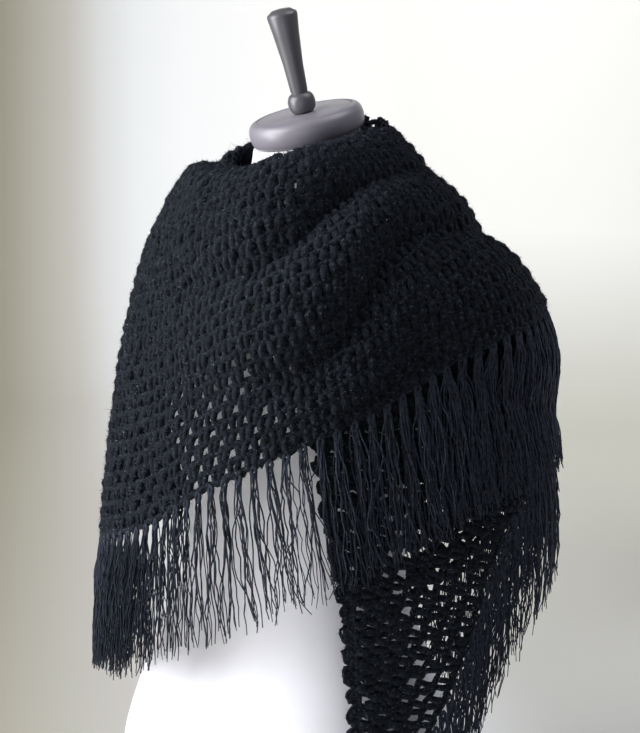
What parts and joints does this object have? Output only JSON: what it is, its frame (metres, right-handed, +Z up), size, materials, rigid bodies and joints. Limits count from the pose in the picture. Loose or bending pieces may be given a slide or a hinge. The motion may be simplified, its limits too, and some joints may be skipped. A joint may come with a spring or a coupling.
{
  "type": "fringed crochet shawl on a dress form",
  "caption": "Fringed triangular crochet shawl wound round a limbless dress form with a turned wooden neck cap and finial.",
  "frame": {"origin": "centre of the dress form's flat foot", "axes": "+Z up; -Y the way the form faces; +X its left side"},
  "size_m": [0.4898, 0.4307, 1.0264],
  "materials": {
    "form_cover": "plain white jersey, matt",
    "cap_paint": "satin grey-taupe paint",
    "yarn": "brushed near-black yarn, fuzzy",
    "fringe_yarn": "near-black crimped yarn strands"
  },
  "bodies": {
    "root": {"form_torso": "form_cover", "neck_cap": "cap_paint", "finial": "cap_paint", "shawl_wrap": "yarn", "shawl_front_end": "yarn", "shawl_back_end": "yarn", "border_front_end": "yarn", "border_back_end": "yarn", "fringe_front_hem": "fringe_yarn", "fringe_back_hem": "fringe_yarn", "fringe_front_end": "fringe_yarn", "fringe_back_end": "fringe_yarn"}
  },
  "joints": []
}
